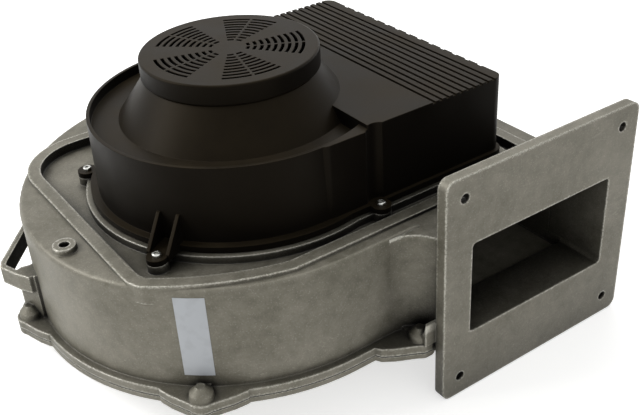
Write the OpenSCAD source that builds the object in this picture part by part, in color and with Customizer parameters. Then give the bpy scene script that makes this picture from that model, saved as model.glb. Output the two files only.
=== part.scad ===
// Radial blower: a cast scroll housing with a square outlet flange, an external rotor
// motor and its drive electronics under a moulded cover, and a backward curved impeller.
// Z is up along the shaft, X is the direction the air leaves, millimetres throughout.
// Z = 0 is the underside of the base cover.

/* [Scroll housing] */
// outside radius of the first quarter of the scroll wall
near_r = 190.5; // [188:0.5:196]
// growth of the scroll radius from one quarter to the next
arc_step = 20; // [18:0.5:22]
// X of the centre of the last quarter of the scroll
far_x = 21.5; // [20:0.5:25]
// thickness of the cast wall
wall_t = 5; // [4:0.5:7]
// height of the deck above the base
deck_z = 111; // [108:0.5:116]
// depth of the pocket in the deck
pocket_deep = 6; // [5:0.5:7]
// thickness of the cast roof over the scroll
roof_t = 6; // [5:0.5:8]
// radius of the rounded edge between wall and deck
edge_r = 5; // [3:0.5:7]
// how far the rim band stands out from the wall
rim_out = 7; // [5:0.5:8]
// distance of the lug screws from the wall
lug_out = 12; // [11:0.5:13]
// height of the rim band
rim_h = 8; // [6:0.5:10]

/* [Outlet flange] */
// X of the outlet face
flange_x = 223; // [221:0.5:230]
// thickness of the flange plate
flange_t = 10.4; // [8:0.2:12]
// side of the square flange plate
flange_side = 223.5; // [218:0.5:230]
// Z of the middle of the flange plate
flange_z = 62.5; // [61:0.5:64]
// distance between the flange holes
hole_pitch = 184; // [180:0.5:190]
// radius of a flange hole
flange_hole_r = 4.5; // [4:0.1:5.5]
// Y of the middle of the outlet
outlet_y = 165.5; // [164.5:0.5:166.5]
// Z of the middle of the outlet
outlet_z = 61; // [60.5:0.5:61.5]
// width of the outlet opening
outlet_w = 164; // [156:1:165]
// height of the outlet opening
outlet_h = 92; // [84:1:92]

/* [Base cover] */
// thickness of the base cover
base_t = 5; // [4:0.5:6]
// thickness of the gasket under the scroll housing
gasket_t = 1; // [0.5:0.1:1.5]
// radius of the core of the base screws
base_screw_r = 2.5; // [2:0.1:3]
// throat radius of the inlet nozzle
throat_r = 80; // [76:0.5:82]
// radius of the curve of the inlet nozzle
mouth_r = 16; // [14:0.5:18]
// pitch circle radius of the tapped inlet holes
inlet_pcr = 116; // [115:0.5:119]
// radius of a tapped inlet hole
inlet_hole_r = 3.4; // [3:0.1:4]

/* [Motor cover] */
// radius of the cover rim
ring_r = 131; // [129:0.5:132]
// height of the cover rim above the base
ring_z = 187; // [185:0.5:190]
// wall thickness of the moulded cover
cover_t = 3; // [2.5:0.1:3.5]
// how far the side wall of the box stands out beyond the cover rim
box_out = 2; // [1.5:0.5:4]
// Y of the back wall of the cover
box_y = 201; // [198:0.5:202]
// how far the top of the box stands over the rim
box_rise = 3.5; // [2:0.5:5]
// number of grooves on top of the box
groove_n = 10; // [6:1:10]
// radius of the vent cap
cap_r = 79; // [77:0.5:80]
// height of the top of the vent cap above the base
cap_z = 233; // [231:0.5:237]
// number of slot rows in one sector of the vent
slot_rows = 9; // [6:1:9]
// width of a vent slot
slot_w = 3; // [2:0.2:3.4]

/* [Motor] */
// shaft radius in the bearings
shaft_r = 7.5; // [7:0.1:8]
// outside radius of the bearings
bearing_r = 17.5; // [17:0.1:18]
// width of a bearing
bearing_w = 11; // [10:0.5:12]
// radius of a bearing ball
ball_r = 3; // [2.6:0.1:3.1]
// number of balls in a bearing
ball_n = 8; // [6:1:8]
// outside radius of the rotor bell
bell_r = 70; // [68:0.5:72]
// outside radius of the stator
stator_r = 59.5; // [58:0.5:61]
// air gap between stator and magnets
air_gap = 0.6; // [0.4:0.1:1]
// number of stator teeth
tooth_n = 12; // [6:3:12]
// width of a stator tooth
tooth_w = 8; // [6:0.5:9]
// pitch circle radius of the motor screws
motor_pcr = 60; // [57:0.5:62]
// radius of a motor screw
motor_screw_r = 2.1; // [1.9:0.1:2.6]

/* [Impeller] */
// outside radius of the impeller
wheel_r = 155; // [150:0.5:158]
// number of impeller blades
blade_n = 9; // [6:1:11]
// thickness of an impeller blade
blade_t = 2; // [1.5:0.1:3]
// angle of the blades to the rim at their inner end
blade_in = 33; // [28:1:38]
// angle of the blades to the rim at their outer end
blade_out = 42; // [38:1:48]
// width of the impeller at its outer edge
wheel_b = 38; // [32:1:42]
// running clearance between shroud eye and nozzle
eye_gap = 2; // [1:0.5:3]

/* [Electronics] */
// half the length of the circuit board
board_x = 114; // [108:1:116]
// Y of the front edge of the circuit board
board_y0 = 95; // [94:0.5:97]
// depth of the circuit board
board_d = 92; // [88:0.5:92]
// thickness of the circuit board
board_t = 1.6; // [1.2:0.2:2.4]
// radius of a capacitor can
can_r = 12.5; // [11:0.5:13]
// height of a capacitor can
can_h = 38; // [30:1:40]
// length of the terminal block
term_l = 84; // [76:1:88]
// number of terminals
term_n = 10; // [4:1:10]
// thread radius of a cable gland
gland_hole_r = 10; // [9.6:0.1:10.4]

/* [Hidden] */
$fn = 96;
a = arc_step / 2;
r1 = near_r;
r2 = r1 + arc_step;
r3 = r2 + far_x + a;
near_x = r1 - a;
far_y = a + r3;
cast_z = base_t + gasket_t;
pocket_z = deck_z - pocket_deep;
roof_z = pocket_z - roof_t;
bead_h = 3;
bead_w = 12;
plat_z = deck_z + 1;
seal_t = 1;
cover_z = plat_z + seal_t;
flange_back = flange_x - flange_t;
neck_y = outlet_y - outlet_w / 2 - 20;
lug_r = 13;
lug_h = 13;
label_z = cast_z + lug_h + 7;
run = 0.03;

// scroll lugs: arc centre, arc radius, angle; then the lugs on the straight walls
lugs_arc = [[-a, -a, r1, -39.5], [-a, a, r2, -100], [-a, a, r2, -165],
  [far_x, a, r3, 150], [far_x, a, r3, 112]];
lugs_flat = [[near_x + lug_out + 7, neck_y - 16, 0], [95, far_y + lug_out - 4, 90],
  [178, far_y + lug_out - 4, 90]];
function lug_xy(l) = [l[0], l[1]] + (l[2] + lug_out) * [cos(l[3]), sin(l[3])];
lugs = concat([for (l = lugs_arc) [lug_xy(l)[0], lug_xy(l)[1], l[3]]], lugs_flat);

// cover screws: front, right, left, back left, back
box_x = ring_r + box_out;
tab_xy = [(ring_r + 26.6) * [cos(-57.1), sin(-57.1)], [box_x + 7.5, 54],
  (ring_r + 14) * [cos(-125.7), sin(-125.7)], [-box_x - 7.5, 95], [0, box_y + 8]];
tab_r = 9;
tab_t = 5;
notch_r = 11.5;
cover_screw_r = 1.7;
pocket_x0 = -box_x - 20;
pocket_x1 = box_x + 22;
pocket_y0 = -ring_r - 23;
pocket_y1 = box_y + 19;
tap_xy = [18, -184];
tap_r = 10;
tap_hole_r = 4.4;

// motor heights
motor_z = plat_z + 1;
flange_disc_t = 6;
tube_r = 23;
bear_lo = motor_z + 3;
bear_hi = bear_lo + 62;
tube_top = bear_hi + bearing_w;
ball_pr = (shaft_r + bearing_r) / 2;
land_in = shaft_r + 2.9;
land_out = bearing_r - 2.9;
motor_disc_r = motor_pcr + 8;
shoulder_r = shaft_r + 2;
thread_r = shaft_r - 1.5;
shaft_seal_r = shoulder_r + 6.5;
tip_r = stator_r - 4.5;
vent_pcr = 0.6 * bell_r;
core_z0 = motor_z + 26;
core_z1 = core_z0 + 40;
bell_z0 = motor_z + 16;
bell_top = tube_top + 11;
bell_wall = 4;
magnet_r = stator_r + air_gap;
seal_z = roof_z + 3;
spigot_r = 49.7;
hub_top = roof_z - 7;
plate_z = hub_top - 4;
hub_r = 19.7;
rivet_pcr = 36;
rivet_r = 2.5;
plate_t = 2.5;
eye_r = throat_r + 2 + eye_gap;
shroud_t = 2;
nut_h = 10;
nozzle_t = 2;
nozzle_top = base_t + mouth_r + 22;
nozzle_flange_r = throat_r + mouth_r + 10;

// electronics
tray_z = cover_z + 1;
tray_t = 6;
board_z = tray_z + 21;
tray_y0 = board_y0 - 1;
board_y1 = board_y0 + board_d;
gland_xy = [[30, 142], [68, 142]];

// ---------- plan shapes ----------
// outline of the scroll without its neck, grown by o
module scroll_plan(o) {
  intersection() {
    translate([-a, -a]) circle(r = r1 + o);
    translate([-a, -a - 400]) square([400, 400]);
  }
  intersection() {
    translate([-a, a]) circle(r = r2 + o);
    translate([-a - 400, a - 400]) square([400, 400]);
  }
  intersection() {
    translate([far_x, a]) circle(r = r3 + o);
    translate([far_x - 400, a]) square([400, 400]);
  }
  translate([-a - 1, -a - 1]) square([far_x + a + 2, r2]);
  translate([far_x - 1, -a - 1]) square([near_x - far_x + 1 + o, far_y + a + 1 + o]);
}

// neck between scroll and flange with its hollow corner
module neck_plan(o) {
  f = flange_back - near_x - o;
  translate([near_x - 30, neck_y - o]) square([flange_back - near_x + 30, far_y - neck_y + 2 * o]);
  difference() {
    translate([near_x + o - 1, neck_y - o - f]) square([f + 1, f + 1]);
    translate([flange_back, neck_y - o - f]) circle(r = f);
  }
}

module lug_plan(l) {
  translate([l[0], l[1]]) rotate([0, 0, l[2]]) {
    circle(r = lug_r);
    polygon([[-20, -44], [-lug_out + 5, -37], [0, -27], [9.2, -9.2], [9.2, 9.2], [0, 27],
      [-lug_out + 5, 37], [-20, 44]]);
  }
}

module rim_plan() {
  intersection() {
    union() {
      scroll_plan(rim_out);
      neck_plan(rim_out);
      for (l = lugs) lug_plan(l);
    }
    translate([-400, -400]) square([400 + flange_back - 0.5, 800]);
  }
}

// solid part between the start of the scroll and the duct
module tongue_plan() {
  ty = outlet_y - outlet_w / 2;
  difference() {
    translate([100, -a]) square([near_x - 100, ty + a]);
    translate([near_x - wall_t - 174, -6]) circle(r = 174);
    translate([100, ty - 8]) square([near_x - wall_t - 22 - 100, 20]);
  }
  translate([near_x - wall_t - 22, ty - 4]) circle(r = 4);
  translate([near_x - wall_t - 22, ty - 8]) square([22 + wall_t, 8]);
}

module hollow_plan() {
  difference() {
    scroll_plan(-wall_t);
    tongue_plan();
  }
}

module round_rect(w, h, r) {
  translate([-w / 2 + r, -h / 2]) square([w - 2 * r, h]);
  translate([-w / 2, -h / 2 + r]) square([w, h - 2 * r]);
  for (i = [-1, 1], j = [-1, 1]) translate([i * (w / 2 - r), j * (h / 2 - r)]) circle(r = r);
}

// corner cutter: takes away the square corner outside a circle of radius r
module corner_cut(x, y, sx, sy, r) {
  translate([x, y]) difference() {
    translate([sx < 0 ? -2 * r : 0, sy < 0 ? -2 * r : 0]) square([2 * r, 2 * r]);
    circle(r = r);
  }
}

// pocket in the deck round the motor, grown by o
module pocket_plan(o) {
  difference() {
    intersection() {
      translate([pocket_x0 - o, pocket_y0 - o])
        square([pocket_x1 - pocket_x0 + 2 * o, pocket_y1 - pocket_y0 + 2 * o]);
      union() {
        translate([-87, 12.5]) circle(r = 250 + o);
        translate([-250, 12.5]) square([500, 400]);
      }
    }
    corner_cut(pocket_x0 + 50, pocket_y0 + 50, -1, -1, 50 + o);
    corner_cut(pocket_x0 + 40, pocket_y1 - 40, -1, 1, 40 + o);
    corner_cut(pocket_x1 - 20, pocket_y1 - 20, 1, 1, 20 + o);
    // tight corner round the front screw
    translate(tab_xy[0] + [5.2, 0.5]) difference() {
      polygon([[0, 0], [0, -60], [50, -60], [46.6, -37.7]]);
      circle(r = 22 + o);
    }
  }
}

// wall and deck of one quarter with a rounded upper edge
module edge_profile(r, h, f) {
  square([r, h - f]);
  square([r - f, h]);
  translate([r - f, h - f]) circle(r = f);
}

module quarter(cx, cy, r, start) {
  translate([cx, cy, cast_z]) rotate([0, 0, start]) rotate_extrude(angle = 90)
    edge_profile(r, deck_z - cast_z, edge_r);
}

module scroll_body() {
  quarter(-a, -a, r1, -90);
  quarter(-a, a, r2, 180);
  quarter(far_x, a, r3, 90);
  translate([-a - 1, -a - 1, cast_z]) cube([far_x + a + 2, r2, deck_z - cast_z]);
  // straight near wall
  translate([0, neck_y + 40, cast_z]) rotate([90, 0, 0]) linear_extrude(neck_y + 40 + a)
    edge_profile(near_x, deck_z - cast_z, edge_r);
  // straight far wall
  translate([far_x, neck_y, cast_z]) rotate([90, 0, 90]) linear_extrude(flange_back - far_x)
    edge_profile(far_y - neck_y, deck_z - cast_z, edge_r);
  translate([0, 0, cast_z]) linear_extrude(deck_z - cast_z) neck_plan(0);
}

// ---------- casting ----------
module lug_boss(l) {
  translate([l[0], l[1], cast_z]) {
    cylinder(h = lug_h, r1 = lug_r - 1, r2 = lug_r - 3);
    translate([0, 0, lug_h]) cylinder(h = 6, r1 = lug_r - 3, r2 = 4);
    // rib from the boss to the wall
    rotate([0, 0, l[2]]) translate([-lug_out - 8, -6, 0]) cube([lug_out + 8, 12, lug_h - 2]);
  }
}

// hollow gusset that carries the rim band up to the flange
module gusset() {
  g = flange_back - near_x - 8;
  translate([flange_back - g, neck_y + 1, cast_z + rim_h - 1]) rotate([90, 0, 0])
    linear_extrude(22) difference() {
      square([g, g + 1]);
      translate([0, g + 1]) circle(r = g);
    }
}

module bracket() {
  // loop bracket on the left of the wall
  translate([0, 0, 43]) linear_extrude(17) difference() {
    polygon([[-38, -190], [-38, -206], [-50, -212.5], [-71, -220.5], [-79, -217],
      [-134, -173], [-152, -158], [-152, -140], [-110, -165]]);
    polygon([[-54, -209], [-71, -215], [-76, -212.5], [-130, -169.5], [-139, -160],
      [-120, -163], [-60, -188]]);
  }
  // leg down to the lug
  translate([0, 0, cast_z]) linear_extrude(60 - cast_z)
    polygon([[-36.5, -188], [-36.5, -201.5], [-57, -210.5], [-59, -205], [-54, -186]]);
}

module platform_plan() {
  circle(r = ring_r + 13);
  translate([0, (box_y + 8) / 2]) round_rect(2 * box_x + 16, box_y + 8, 12);
}

module scroll_housing() {
  color([0.56, 0.55, 0.52]) difference() {
    union() {
      difference() {
        union() {
          scroll_body();
          translate([0, 0, cast_z]) linear_extrude(rim_h) rim_plan();
          for (l = lugs) lug_boss(l);
          gusset();
          // raised bead, and the shelf under it where the motor deck passes the scroll wall
          translate([0, 0, roof_z - 2]) linear_extrude(deck_z + bead_h + 2 - roof_z)
            pocket_plan(bead_w);
          bracket();
        }
        translate([0, 0, cast_z - 20]) linear_extrude(roof_z - cast_z + 20) hollow_plan();
        translate([0, 0, pocket_z]) linear_extrude(50) pocket_plan(0);
        // duct from scroll to outlet
        translate([pocket_x1 + 4, outlet_y, outlet_z]) rotate([90, 0, 90]) linear_extrude(100)
          round_rect(outlet_w, outlet_h, 4);
      }
      // raised platform under the motor cover and bosses for its screws
      translate([0, 0, pocket_z - 1]) linear_extrude(plat_z - pocket_z + 1) platform_plan();
      for (p = tab_xy) translate([p[0], p[1], pocket_z - 1])
        cylinder(h = cover_z - pocket_z + 1, r = tab_r);
      translate([tap_xy[0], tap_xy[1], deck_z - 4]) cylinder(h = 9, r = tap_r);
      // outlet flange
      translate([flange_back, outlet_y, outlet_z]) rotate([90, 0, 90]) linear_extrude(flange_t)
        difference() {
          translate([0, flange_z - outlet_z]) round_rect(flange_side, flange_side, 9);
          round_rect(outlet_w, outlet_h, 4);
        }
    }
    for (i = [-1, 1], j = [-1, 1])
      translate([flange_back - 5, outlet_y + i * hole_pitch / 2, flange_z + j * hole_pitch / 2])
        rotate([0, 90, 0]) cylinder(h = flange_t + 10, r = flange_hole_r);
    translate([0, 0, roof_z - 10]) cylinder(h = 40, r = spigot_r);
    for (p = tab_xy) translate([p[0], p[1], cover_z - 9]) cylinder(h = 20, r = cover_screw_r);
    for (k = [0:5]) rotate([0, 0, 60 * k]) translate([motor_pcr, 0, plat_z - 9])
      cylinder(h = 20, r = motor_screw_r);
    for (l = lugs) translate([l[0], l[1], cast_z - 5]) cylinder(h = 17, r = base_screw_r);
    translate([tap_xy[0], tap_xy[1], roof_z - 5]) cylinder(h = 40, r = tap_hole_r);
  }
}

module screw_holes(r) {
  for (l = lugs) translate([l[0], l[1]]) circle(r = r, $fn = 48);
}

module base_gasket() {
  color([0.25, 0.25, 0.24]) translate([0, 0, base_t]) linear_extrude(gasket_t) difference() {
    rim_plan();
    hollow_plan();
    screw_holes(base_screw_r);
  }
}

module base_cover() {
  color([0.58, 0.57, 0.55]) difference() {
    union() {
      linear_extrude(base_t) rim_plan();
      translate([0, 0, -4]) cylinder(h = 5, r = inlet_pcr + 12);
      for (k = [0:5]) rotate([0, 0, 60 * k + 30]) translate([inlet_pcr, 0, 0])
        cylinder(h = base_t + 9, r = 8.5, $fn = 48);
    }
    translate([0, 0, -10]) cylinder(h = 30, r = throat_r + mouth_r);
    for (k = [0:5]) rotate([0, 0, 60 * k + 30]) translate([inlet_pcr, 0, -10])
      cylinder(h = 10 + base_t + 6, r = inlet_hole_r, $fn = 48);
    for (k = [0:5]) rotate([0, 0, 60 * k]) translate([nozzle_flange_r - 5, 0, -1])
      cylinder(h = 20, r = 1.7, $fn = 48);
    translate([0, 0, -1]) linear_extrude(base_t + 2) screw_holes(base_screw_r);
  }
}

module base_screws() {
  color([0.72, 0.72, 0.7]) for (l = lugs) translate([l[0], l[1], 0]) {
    translate([0, 0, -1.2]) cylinder(h = 1.2, r = 6);
    translate([0, 0, -5.2]) cylinder(h = 4, r = 5.6, $fn = 6);
    cylinder(h = cast_z + 11, r = base_screw_r, $fn = 48);
  }
}

module inlet_nozzle() {
  color([0.7, 0.7, 0.68]) difference() {
    translate([0, 0, base_t]) rotate_extrude() {
      intersection() {
        difference() {
          translate([throat_r + mouth_r, mouth_r]) circle(r = mouth_r);
          translate([throat_r + mouth_r, mouth_r]) circle(r = mouth_r - nozzle_t);
        }
        translate([throat_r, 0]) square([mouth_r, mouth_r]);
      }
      translate([throat_r + mouth_r - 0.5, 0]) square([10.5, nozzle_t]);
      translate([throat_r, mouth_r - 0.5]) square([nozzle_t, 22.5]);
    }
    for (k = [0:5]) rotate([0, 0, 60 * k]) translate([nozzle_flange_r - 5, 0, 0])
      cylinder(h = 20, r = 1.7, $fn = 48);
  }
}

module nozzle_screws() {
  color([0.75, 0.75, 0.73]) for (k = [0:5]) rotate([0, 0, 60 * k])
    translate([nozzle_flange_r - 5, 0, 0]) {
      translate([0, 0, 0]) cylinder(h = base_t + nozzle_t, r = 1.7, $fn = 48);
      translate([0, 0, base_t + nozzle_t]) cylinder(h = 2.4, r = 3.5, $fn = 48);
    }
}

module blank_label() {
  color([0.93, 0.93, 0.92]) translate([-a, -a, label_z]) rotate([0, 0, -44])
    rotate_extrude(angle = 7.7) translate([r1 + 0.03, 0])
      square([0.3, deck_z - edge_r - 1 - label_z]);
}

// ---------- motor cover ----------
module box_plan(o) {
  translate([0, box_y / 2]) round_rect(2 * box_x + 2 * o, box_y + 2 * o, 10 + o);
}

module cone_solid(o) {
  rotate_extrude() polygon([[0, cover_z + 2], [104 - o, cover_z + 2], [104 - o, ring_z - 9 - o],
    [cap_r - 2 - o, ring_z + 27 - o], [0, ring_z + 27 - o]]);
}

module notch(r, z) {
  translate([tab_xy[1][0], tab_xy[1][1], z]) cylinder(h = 200, r = r);
}

module cover_outside() {
  difference() {
    union() {
      rotate_extrude() polygon([[0, cover_z], [ring_r + 1.2, cover_z], [ring_r, ring_z], [0, ring_z]]);
      translate([0, 0, cover_z]) cylinder(h = 5, r = ring_r + 8);
      translate([0, 0, cover_z]) linear_extrude(ring_z - cover_z) box_plan(0);
      translate([0, 0, cover_z]) linear_extrude(5) box_plan(3.5);
      translate([0, 0, ring_z - 5]) linear_extrude(5 + box_rise) intersection() {
        box_plan(0);
        translate([-200, 50]) square([400, 400]);
      }
    }
    // recessed ledge inside the rim
    translate([0, 0, ring_z - 9]) linear_extrude(40) intersection() {
      circle(r = ring_r - cover_t);
      translate([-200, -200]) square([400, 250]);
    }
    // grooves on top and on the back
    for (k = [0:groove_n - 1]) translate([-200, 118 + k * 7.7, ring_z + box_rise - 1.6])
      cube([400, 3, 10]);
    for (k = [-6:6]) translate([k * 17 - 3, box_y - 1.5, cover_z + 50]) cube([6, 10, 100]);
    notch(notch_r, cover_z + tab_t);
  }
  // screw tabs, the front one with two fins
  for (p = tab_xy) translate([p[0], p[1], cover_z]) cylinder(h = tab_t, r = tab_r);
  rotate([0, 0, atan2(tab_xy[0][1], tab_xy[0][0])]) translate([ring_r, 0, cover_z]) {
    translate([0, 1 - tab_r, 0])
      cube([norm(tab_xy[0]) - ring_r - cover_screw_r - 1, 2 * tab_r - 2, tab_t]);
    for (d = [-tab_r, tab_r]) translate([0, d + 1.5, 0]) rotate([90, 0, 0]) linear_extrude(3)
      polygon([[0, 0], [25, 0], [25, 6], [2, 30], [0, 30]]);
  }
}

module cover_inside() {
  difference() {
    union() {
      rotate_extrude() polygon([[0, cover_z - 5], [ring_r + 1.2 - cover_t, cover_z - 5],
        [ring_r - 0.6 - cover_t, ring_z - 9 - cover_t], [0, ring_z - 9 - cover_t]]);
      cone_solid(cover_t);
      translate([0, 0, cover_z - 5]) linear_extrude(ring_z - 4 - cover_t - cover_z) box_plan(-cover_t);
      translate([0, 0, cover_z]) linear_extrude(ring_z - cover_z) intersection() {
        box_plan(-cover_t);
        translate([-200, 50 + cover_t]) square([400, 400]);
      }
    }
    notch(notch_r + cover_t, cover_z - 10);
  }
}

module motor_cover() {
  color([0.13, 0.125, 0.115]) difference() {
    union() {
      cover_outside();
      cone_solid(0);
      // collar that carries the vent cap
      translate([0, 0, ring_z + 25]) cylinder(h = cap_z - cover_t - ring_z - 25, r = cap_r - cover_t);
    }
    cover_inside();
    translate([0, 0, ring_z + 20]) cylinder(h = 60, r = cap_r - 2 * cover_t - 0.5);
    for (p = tab_xy) translate([p[0], p[1], cover_z - 5]) cylinder(h = 20, r = cover_screw_r);
    for (g = gland_xy) translate([g[0], box_y - 12, g[1]]) rotate([-90, 0, 0])
      cylinder(h = 30, r = gland_hole_r, $fn = 48);
  }
}

module vent_cap() {
  color([0.14, 0.135, 0.125]) difference() {
    translate([0, 0, ring_z + 29]) rotate_extrude() difference() {
      union() {
        square([cap_r, cap_z - ring_z - 31]);
        square([cap_r - 2, cap_z - ring_z - 29]);
        translate([cap_r - 2, cap_z - ring_z - 31]) circle(r = 2, $fn = 48);
      }
      translate([-1, -1]) square([cap_r - cover_t + 1, cap_z - ring_z - 29 - cover_t + 1]);
    }
    translate([0, 0, cap_z - cover_t - 1]) linear_extrude(10) for (s = [0:4]) rotate([0, 0, -13 + 72 * s])
      difference() {
        intersection() {
          for (k = [0:slot_rows - 1]) difference() {
            circle(r = 15.5 + 6 * k + slot_w);
            circle(r = 15.5 + 6 * k);
          }
          polygon([[0, 0], [90 * cos(23), -90 * sin(23)], [120, 0], [90 * cos(23), 90 * sin(23)]]);
        }
        translate([0, -1.1]) square([100, 2.2]);
      }
  }
}

module cover_seal() {
  color([0.1, 0.1, 0.1]) translate([0, 0, plat_z]) linear_extrude(seal_t) difference() {
    union() {
      circle(r = ring_r + 6);
      box_plan(1.5);
    }
    circle(r = ring_r + 2);
    box_plan(-2.5);
    for (p = tab_xy) translate(p) circle(r = tab_r + 0.2);
  }
}

module cover_screws() {
  color([0.8, 0.8, 0.78]) for (p = tab_xy) translate([p[0], p[1], cover_z - 8]) {
    cylinder(h = 8 + tab_t, r = cover_screw_r, $fn = 48);
    translate([0, 0, 8 + tab_t]) difference() {
      cylinder(h = 3, r = 3.9, $fn = 48);
      translate([0, 0, 1]) cylinder(h = 3, r = 2, $fn = 6);
    }
  }
}

// ---------- motor ----------
module motor_gasket() {
  color([0.3, 0.3, 0.3]) translate([0, 0, plat_z]) linear_extrude(1) difference() {
    circle(r = motor_disc_r);
    circle(r = spigot_r);
    for (k = [0:5]) rotate(60 * k) translate([motor_pcr, 0]) circle(r = motor_screw_r);
  }
}

module motor_flange() {
  color([0.62, 0.62, 0.6]) difference() {
    union() {
      translate([0, 0, motor_z]) cylinder(h = flange_disc_t, r = motor_disc_r);
      translate([0, 0, roof_z]) cylinder(h = motor_z - roof_z + 1, r = spigot_r);
      translate([0, 0, motor_z]) cylinder(h = tube_top - motor_z, r = tube_r);
    }
    translate([0, 0, roof_z - 5]) cylinder(h = 100, r = shoulder_r + 0.7);
    translate([0, 0, seal_z]) cylinder(h = 8, r = shaft_seal_r);
    translate([0, 0, seal_z - 10]) cylinder(h = 11, r = shaft_seal_r - 2);
    translate([0, 0, bear_lo]) cylinder(h = bearing_w + 1, r = bearing_r);
    translate([0, 0, bear_lo]) cylinder(h = 62, r = bearing_r - 2);
    translate([0, 0, bear_hi]) cylinder(h = 40, r = bearing_r);
    for (k = [0:5]) rotate([0, 0, 60 * k]) translate([motor_pcr, 0, motor_z - 20])
      cylinder(h = 60, r = motor_screw_r);
  }
}

module motor_screws() {
  color([0.75, 0.75, 0.73]) for (k = [0:5]) rotate([0, 0, 60 * k])
    translate([motor_pcr, 0, plat_z - 8]) {
      cylinder(h = 8 + 1 + flange_disc_t, r = motor_screw_r, $fn = 48);
      translate([0, 0, 9 + flange_disc_t]) cylinder(h = 2 * motor_screw_r, r = 2 * motor_screw_r, $fn = 48);
    }
}

module stator_plan(r) {
  difference() {
    union() {
      circle(r = tube_r + 11);
      for (k = [0:tooth_n - 1]) rotate(360 / tooth_n * k)
        translate([tube_r - 3, -tooth_w / 2]) square([tip_r - tube_r + 4, tooth_w]);
      intersection() {
        difference() {
          circle(r = r);
          circle(r = tip_r);
        }
        for (k = [0:tooth_n - 1]) rotate(360 / tooth_n * k)
          polygon([[0, 0], [80, -80 * tan(150 / tooth_n)], [80, 80 * tan(150 / tooth_n)]]);
      }
    }
    circle(r = tube_r);
  }
}

module stator_core() {
  color([0.45, 0.45, 0.46]) translate([0, 0, core_z0]) linear_extrude(core_z1 - core_z0)
    stator_plan(stator_r);
}

module insulation_caps() {
  color([0.85, 0.82, 0.72]) for (z = [core_z0 - 4, core_z1]) translate([0, 0, z])
    linear_extrude(4) stator_plan(stator_r - 1);
}

module stator_windings() {
  color([0.72, 0.36, 0.16]) for (k = [0:tooth_n - 1]) rotate([0, 0, 360 / tooth_n * k])
    difference() {
      translate([tube_r + 14, -tooth_w / 2 - 4, core_z0 - 8])
        cube([tip_r - tube_r - 15, tooth_w + 8, core_z1 - core_z0 + 16]);
      translate([tube_r + 7, -tooth_w / 2, core_z0 - 4])
        cube([tip_r - tube_r - 2, tooth_w, core_z1 - core_z0 + 8]);
    }
}

module shaft_seal() {
  color([0.16, 0.16, 0.17]) translate([0, 0, seal_z + 1]) difference() {
    cylinder(h = 7, r = shaft_seal_r);
    translate([0, 0, -1]) cylinder(h = 10, r = shoulder_r + run);
  }
}

module race_out(z) {
  color([0.7, 0.71, 0.73]) translate([0, 0, z]) rotate_extrude() difference() {
    translate([land_out, 0]) square([bearing_r - land_out, bearing_w]);
    translate([ball_pr, bearing_w / 2]) circle(r = ball_r + run);
  }
}

module race_in(z) {
  color([0.68, 0.69, 0.72]) translate([0, 0, z]) rotate_extrude() difference() {
    translate([shaft_r, 0]) square([land_in - shaft_r, bearing_w]);
    translate([ball_pr, bearing_w / 2]) circle(r = ball_r + run);
  }
}

module cage(z) {
  color([0.6, 0.45, 0.25]) translate([0, 0, z + bearing_w / 2]) difference() {
    cylinder(h = 2 * ball_r + 1.6, r = ball_pr + 1.2, center = true);
    cylinder(h = 2 * ball_r + 4, r = ball_pr - 1.2, center = true);
    for (k = [0:ball_n - 1]) rotate([0, 0, 360 / ball_n * k]) translate([ball_pr - 3, 0, 0])
      rotate([0, 90, 0]) cylinder(h = 6, r = ball_r + run);
  }
}

module balls(z) {
  color([0.75, 0.76, 0.78]) for (k = [0:ball_n - 1]) rotate([0, 0, 360 / ball_n * k])
    translate([ball_pr, 0, z + bearing_w / 2]) sphere(r = ball_r, $fn = 48);
}

module lower_outer_race() { race_out(bear_lo); }
module lower_inner_race() { race_in(bear_lo); }
module lower_cage() { cage(bear_lo); }
module lower_balls() { balls(bear_lo); }
module upper_outer_race() { race_out(bear_hi); }
module upper_inner_race() { race_in(bear_hi); }
module upper_cage() { cage(bear_hi); }
module upper_balls() { balls(bear_hi); }

module preload_washer() {
  color([0.5, 0.5, 0.52]) translate([0, 0, bear_lo + bearing_w]) difference() {
    cylinder(h = 1, r = bearing_r);
    translate([0, 0, -1]) cylinder(h = 3, r = land_out + 0.2);
  }
}

module shaft() {
  color([0.72, 0.73, 0.75]) difference() {
    union() {
      translate([0, 0, hub_top - 37]) cylinder(h = 16, r = thread_r);
      translate([0, 0, hub_top - 22]) cylinder(h = 22, r = shaft_r);
      translate([0, 0, hub_top]) cylinder(h = bear_lo - hub_top, r = shoulder_r);
      translate([0, 0, bear_lo]) cylinder(h = bell_top + 5 - bear_lo, r = shaft_r);
    }
    translate([0, 0, bell_top]) difference() {
      cylinder(h = 1.2, r = 20);
      translate([0, 0, -1]) cylinder(h = 4, r = shaft_r - 0.7);
    }
  }
}

module rotor_bell() {
  color([0.42, 0.43, 0.45]) difference() {
    union() {
      difference() {
        translate([0, 0, bell_z0]) cylinder(h = bell_top - bell_z0, r = bell_r);
        translate([0, 0, bell_z0 - 1]) cylinder(h = bell_top - bell_z0 - bell_wall + 1, r = bell_r - bell_wall);
      }
      translate([0, 0, tube_top + 0.5]) cylinder(h = bell_top - tube_top - 0.5, r = shaft_r + 10.5);
      translate([0, 0, tube_top]) cylinder(h = 1, r = land_in - 0.4);
    }
    translate([0, 0, tube_top - 5]) cylinder(h = 30, r = shaft_r);
    for (k = [0:5]) rotate([0, 0, 60 * k]) translate([vent_pcr, 0, bell_top - 10]) cylinder(h = 20, r = 8);
  }
}

module rotor_magnets() {
  color([0.3, 0.3, 0.31]) for (k = [0:7]) rotate([0, 0, 45 * k]) translate([0, 0, core_z0 - 1])
    rotate_extrude(angle = 43) translate([magnet_r, 0])
      square([bell_r - bell_wall - magnet_r, core_z1 - core_z0 + 2]);
}

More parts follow.
